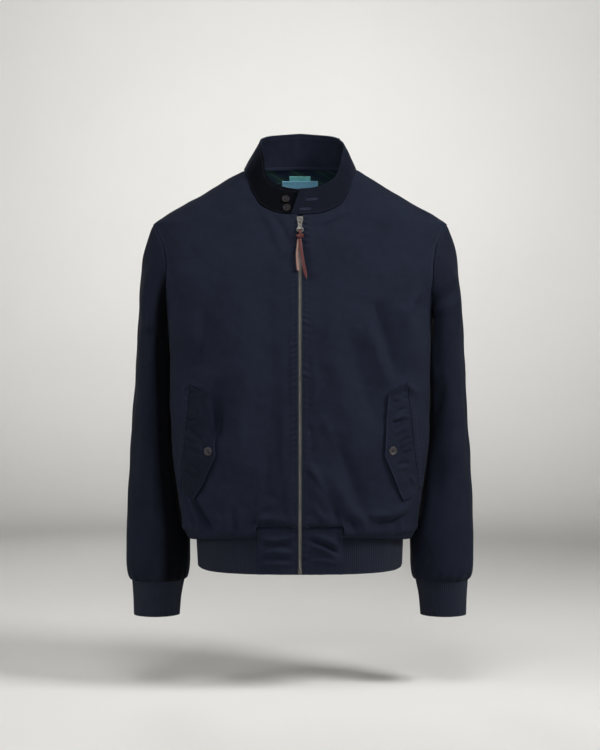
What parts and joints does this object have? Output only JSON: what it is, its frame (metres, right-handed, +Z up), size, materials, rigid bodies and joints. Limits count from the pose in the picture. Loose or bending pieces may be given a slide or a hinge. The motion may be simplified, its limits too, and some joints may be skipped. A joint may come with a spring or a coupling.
{
  "type": "harrington jacket",
  "caption": "Navy cotton harrington jacket, zipped and filled out as worn, with a stand collar, slanted pocket flaps, rib hem and cuffs, and a zip pull that swings.",
  "frame": {"origin": "middle of the neck base, level with the inner ends of the shoulder seams", "axes": "+Z up, the front faces -Y, +X is the wearer's left"},
  "size_m": [0.581, 0.277, 0.808],
  "materials": {
    "twill": "navy cotton twill, garment washed",
    "rib": "navy rib knit",
    "lining": "dark green and navy tartan lining",
    "label": "plain woven label",
    "size_label": "plain woven label",
    "tape": "woven zip tape",
    "metal": "antique nickel",
    "leather": "waxed brown leather",
    "horn": "dark horn"
  },
  "bodies": {
    "jacket": {"back": "twill", "front_left": "twill", "front_right": "twill", "sleeve_left": "twill", "sleeve_right": "twill", "collar": "twill", "hem_tab_left": "twill", "hem_tab_right": "twill", "pocket_flap_left": "twill", "pocket_flap_right": "twill", "cuff_left": "rib", "cuff_right": "rib", "hem_rib": "rib", "neck_lining": "lining", "neck_label": "label", "size_tab": "size_label", "zip_tape_left": "tape", "zip_tape_right": "tape", "zip_chain": "metal", "zip_slider": "metal", "flap_button_left": "horn", "flap_button_right": "horn", "collar_button_top": "horn", "collar_button_low": "horn"},
    "pull_tab": {"zip_pull": "metal", "thong_knot": "leather", "thong_tail_left": "leather", "thong_tail_right": "leather"}
  },
  "joints": [
    {"name": "pull_swing", "type": "hinge", "parent": "jacket", "child": "pull_tab", "pos_m": [0, -0.10078, -0.0945], "axis": [-1, 0, 0], "range_deg": [0, 140]}
  ]
}
